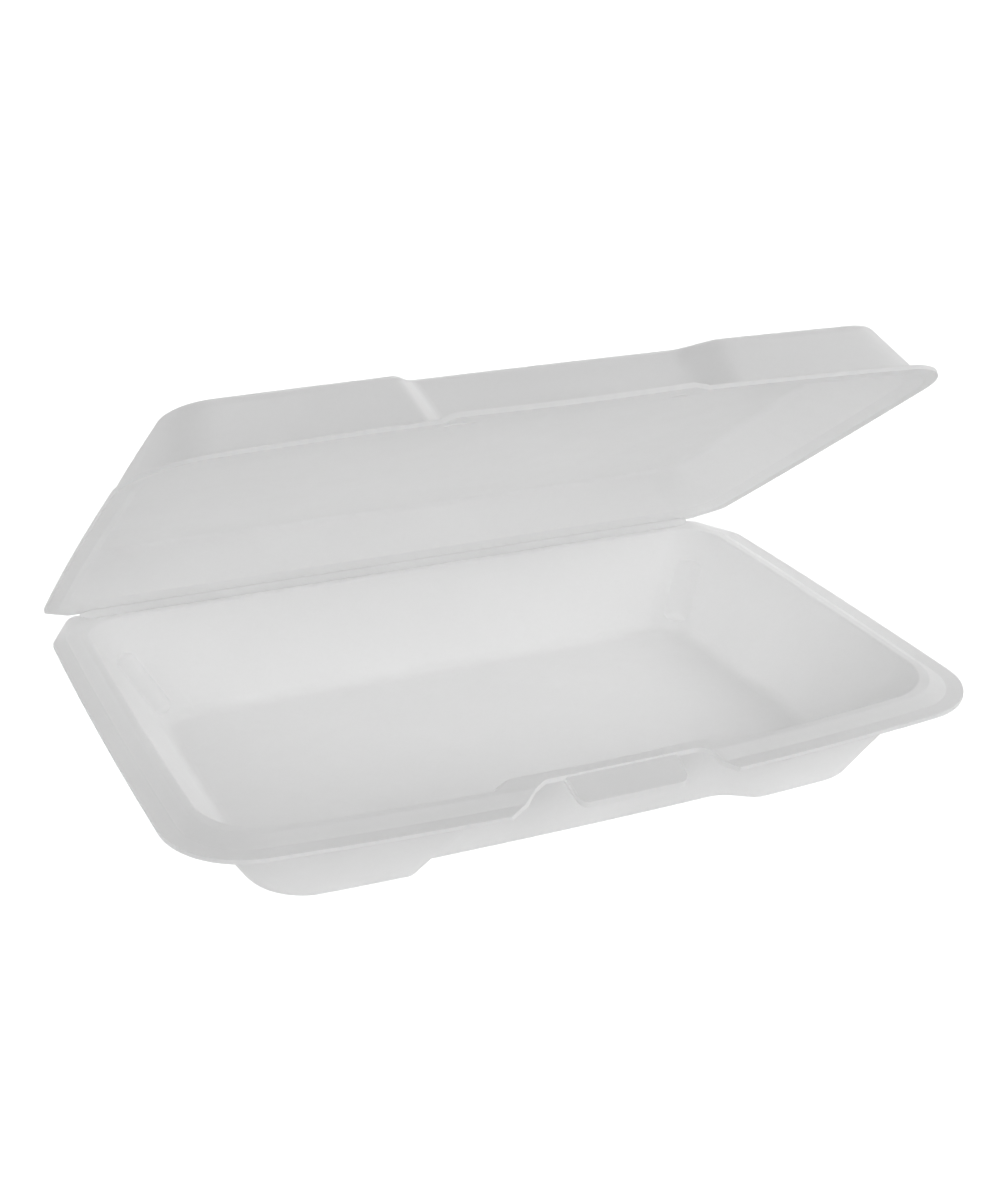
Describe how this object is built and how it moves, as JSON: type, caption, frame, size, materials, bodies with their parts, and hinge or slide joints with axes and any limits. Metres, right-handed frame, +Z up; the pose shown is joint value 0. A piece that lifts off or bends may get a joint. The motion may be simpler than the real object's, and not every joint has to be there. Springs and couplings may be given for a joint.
{
  "type": "foam clamshell container",
  "caption": "Hinged foam take-away container standing open: a shallow tray with a rolled rim and latch tab, and a domed lid with a latch slot.",
  "frame": {"origin": "centre of the tray's flat underside", "axes": "+X along the container's length, -Y towards the latch, +Y towards the hinge, +Z up"},
  "size_m": [0.2334, 0.1601, 0.1261],
  "materials": {
    "foam": "matte"
  },
  "bodies": {
    "base": {"base": "foam"},
    "lid": {"lid": "foam"}
  },
  "joints": [
    {"name": "lid_hinge", "type": "hinge", "parent": "base", "child": "lid", "pos_m": [0, 0.08, 0.027], "axis": [-1, 0, 0], "range_deg": [-35.4, 144.6]}
  ]
}
